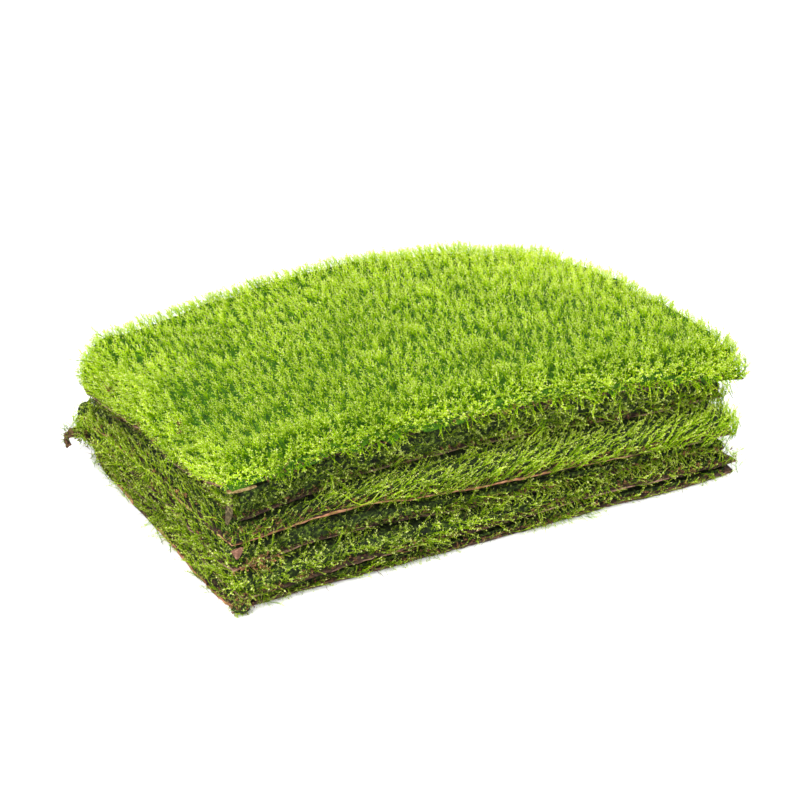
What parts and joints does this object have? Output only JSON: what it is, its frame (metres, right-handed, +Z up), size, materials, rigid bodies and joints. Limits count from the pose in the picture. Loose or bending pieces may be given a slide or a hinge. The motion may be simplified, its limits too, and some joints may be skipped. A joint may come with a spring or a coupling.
{
  "type": "moss clump",
  "caption": "Block of living moss sheets lying flat on each other, bright green on top, with thin brown root mats between the layers.",
  "frame": {"origin": "on the ground, under the middle of the block's bounding box", "axes": "+X along the long side, +Y from the front long side to the back, +Z up; the bright uncovered moss is on top"},
  "size_m": [0.3198, 0.2084, 0.0981],
  "materials": {
    "fresh_moss": "matte, soft tufts of tiny bright yellow-green leaves",
    "shaded_moss": "matte, darker green leafy shoots pressed flat",
    "root_mat": "matte, fibrous brown rhizoids and soil",
    "dead_leaf": "matte, dry leaf",
    "bark": "matte, dry bark"
  },
  "bodies": {
    "root": {"moss_1": "fresh_moss", "moss_2": "shaded_moss", "moss_3": "shaded_moss", "moss_4": "shaded_moss", "moss_5": "shaded_moss", "moss_6": "shaded_moss", "root_mat_1": "root_mat", "root_mat_2": "root_mat", "root_mat_3": "root_mat", "root_mat_4": "root_mat", "root_mat_5": "root_mat", "root_mat_6": "root_mat", "dead_leaf": "dead_leaf", "bark_flake": "bark", "bark_strip": "bark", "root_curl": "root_mat"}
  },
  "joints": []
}
